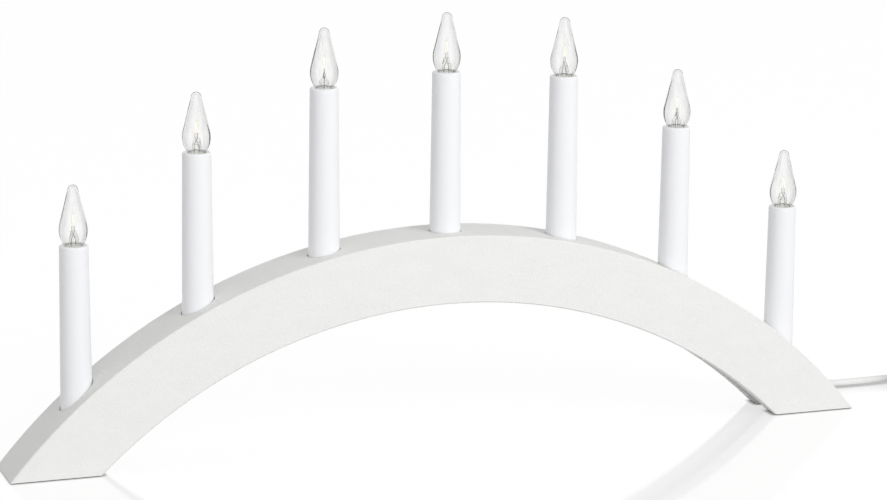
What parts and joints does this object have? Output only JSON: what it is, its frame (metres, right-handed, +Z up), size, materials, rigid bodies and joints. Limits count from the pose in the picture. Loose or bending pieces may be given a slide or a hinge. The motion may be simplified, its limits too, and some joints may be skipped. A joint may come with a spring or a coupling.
{
  "type": "candle arch",
  "caption": "White arched board on two flat feet that carries a row of electric candles with clear screw lamps, with a mains cord coiled at its end.",
  "frame": {"origin": "on the floor, in the middle of the arch's footprint, under its crown", "axes": "+X along the arch to the viewer's right, -Y the front, +Z up"},
  "size_m": [0.686, 0.0763, 0.2309],
  "materials": {
    "painted_wood": "white satin paint on wood",
    "sleeve_plastic": "white moulded plastic, slight gloss",
    "holder_plastic": "moulded white plastic",
    "shell_brass": "pressed brass",
    "contact_brass": "spring brass",
    "cap_metal": "nickel-plated brass",
    "lamp_glass": "clear glass",
    "filament_wire": "dark coppery wire",
    "wire_cover": "white wire insulation",
    "retainer_plastic": "white plastic strip",
    "bushing_plastic": "white plastic",
    "cord_cover": "white flexible cable cover",
    "tie_plastic": "white plastic-covered tie",
    "plug_plastic": "white moulded plug",
    "pin_metal": "nickel-plated pins"
  },
  "bodies": {
    "root": {"arch_body": "painted_wood", "candle_sleeve_1": "sleeve_plastic", "candle_sleeve_2": "sleeve_plastic", "candle_sleeve_3": "sleeve_plastic", "candle_sleeve_4": "sleeve_plastic", "candle_sleeve_5": "sleeve_plastic", "candle_sleeve_6": "sleeve_plastic", "candle_sleeve_7": "sleeve_plastic", "lamp_holder_1": "holder_plastic", "lamp_holder_2": "holder_plastic", "lamp_holder_3": "holder_plastic", "lamp_holder_4": "holder_plastic", "lamp_holder_5": "holder_plastic", "lamp_holder_6": "holder_plastic", "lamp_holder_7": "holder_plastic", "screw_shell_1": "shell_brass", "screw_shell_2": "shell_brass", "screw_shell_3": "shell_brass", "screw_shell_4": "shell_brass", "screw_shell_5": "shell_brass", "screw_shell_6": "shell_brass", "screw_shell_7": "shell_brass", "harness_wires": "wire_cover", "wire_retainers": "retainer_plastic", "cord_bushing": "bushing_plastic", "cord_lead": "cord_cover", "cord_coil": "cord_cover", "cord_tail": "cord_cover", "coil_tie": "tie_plastic", "plug_body": "plug_plastic", "plug_pins": "pin_metal"},
    "contact_1": {"contact_tongue_1": "contact_brass"},
    "lamp_1": {"bulb_cap_1": "cap_metal", "bulb_glass_1": "lamp_glass", "bulb_filament_1": "filament_wire"},
    "contact_2": {"contact_tongue_2": "contact_brass"},
    "lamp_2": {"bulb_cap_2": "cap_metal", "bulb_glass_2": "lamp_glass", "bulb_filament_2": "filament_wire"},
    "contact_3": {"contact_tongue_3": "contact_brass"},
    "lamp_3": {"bulb_cap_3": "cap_metal", "bulb_glass_3": "lamp_glass", "bulb_filament_3": "filament_wire"},
    "contact_4": {"contact_tongue_4": "contact_brass"},
    "lamp_4": {"bulb_cap_4": "cap_metal", "bulb_glass_4": "lamp_glass", "bulb_filament_4": "filament_wire"},
    "contact_5": {"contact_tongue_5": "contact_brass"},
    "lamp_5": {"bulb_cap_5": "cap_metal", "bulb_glass_5": "lamp_glass", "bulb_filament_5": "filament_wire"},
    "contact_6": {"contact_tongue_6": "contact_brass"},
    "lamp_6": {"bulb_cap_6": "cap_metal", "bulb_glass_6": "lamp_glass", "bulb_filament_6": "filament_wire"},
    "contact_7": {"contact_tongue_7": "contact_brass"},
    "lamp_7": {"bulb_cap_7": "cap_metal", "bulb_glass_7": "lamp_glass", "bulb_filament_7": "filament_wire"}
  },
  "joints": [
    {"name": "lamp_1_rise", "type": "slide", "parent": "root", "child": "contact_1", "axis": [0, 0, 1], "range_m": [0, 0.00181]},
    {"name": "lamp_1_turn", "type": "hinge", "parent": "contact_1", "child": "lamp_1", "pos_m": [-0.2012, 0, 0.1], "axis": [0, 0, 1], "range_deg": [0, 360]},
    {"name": "lamp_2_rise", "type": "slide", "parent": "root", "child": "contact_2", "axis": [0, 0, 1], "range_m": [0, 0.00181]},
    {"name": "lamp_2_turn", "type": "hinge", "parent": "contact_2", "child": "lamp_2", "pos_m": [-0.136, 0, 0.1], "axis": [0, 0, 1], "range_deg": [0, 360]},
    {"name": "lamp_3_rise", "type": "slide", "parent": "root", "child": "contact_3", "axis": [0, 0, 1], "range_m": [0, 0.00181]},
    {"name": "lamp_3_turn", "type": "hinge", "parent": "contact_3", "child": "lamp_3", "pos_m": [-0.0672, 0, 0.1], "axis": [0, 0, 1], "range_deg": [0, 360]},
    {"name": "lamp_4_rise", "type": "slide", "parent": "root", "child": "contact_4", "axis": [0, 0, 1], "range_m": [0, 0.00181]},
    {"name": "lamp_4_turn", "type": "hinge", "parent": "contact_4", "child": "lamp_4", "pos_m": [0.0005, 0, 0.1], "axis": [0, 0, 1], "range_deg": [0, 360]},
    {"name": "lamp_5_rise", "type": "slide", "parent": "root", "child": "contact_5", "axis": [0, 0, 1], "range_m": [0, 0.00181]},
    {"name": "lamp_5_turn", "type": "hinge", "parent": "contact_5", "child": "lamp_5", "pos_m": [0.0675, 0, 0.1], "axis": [0, 0, 1], "range_deg": [0, 360]},
    {"name": "lamp_6_rise", "type": "slide", "parent": "root", "child": "contact_6", "axis": [0, 0, 1], "range_m": [0, 0.00181]},
    {"name": "lamp_6_turn", "type": "hinge", "parent": "contact_6", "child": "lamp_6", "pos_m": [0.1344, 0, 0.1], "axis": [0, 0, 1], "range_deg": [0, 360]},
    {"name": "lamp_7_rise", "type": "slide", "parent": "root", "child": "contact_7", "axis": [0, 0, 1], "range_m": [0, 0.00181]},
    {"name": "lamp_7_turn", "type": "hinge", "parent": "contact_7", "child": "lamp_7", "pos_m": [0.2005, 0, 0.1], "axis": [0, 0, 1], "range_deg": [0, 360]}
  ],
  "couplings": [
    {"joint": "lamp_1_rise", "follows": "lamp_1_turn", "m_per_rad": 0.00028871},
    {"joint": "lamp_2_rise", "follows": "lamp_2_turn", "m_per_rad": 0.00028871},
    {"joint": "lamp_3_rise", "follows": "lamp_3_turn", "m_per_rad": 0.00028871},
    {"joint": "lamp_4_rise", "follows": "lamp_4_turn", "m_per_rad": 0.00028871},
    {"joint": "lamp_5_rise", "follows": "lamp_5_turn", "m_per_rad": 0.00028871},
    {"joint": "lamp_6_rise", "follows": "lamp_6_turn", "m_per_rad": 0.00028871},
    {"joint": "lamp_7_rise", "follows": "lamp_7_turn", "m_per_rad": 0.00028871}
  ]
}
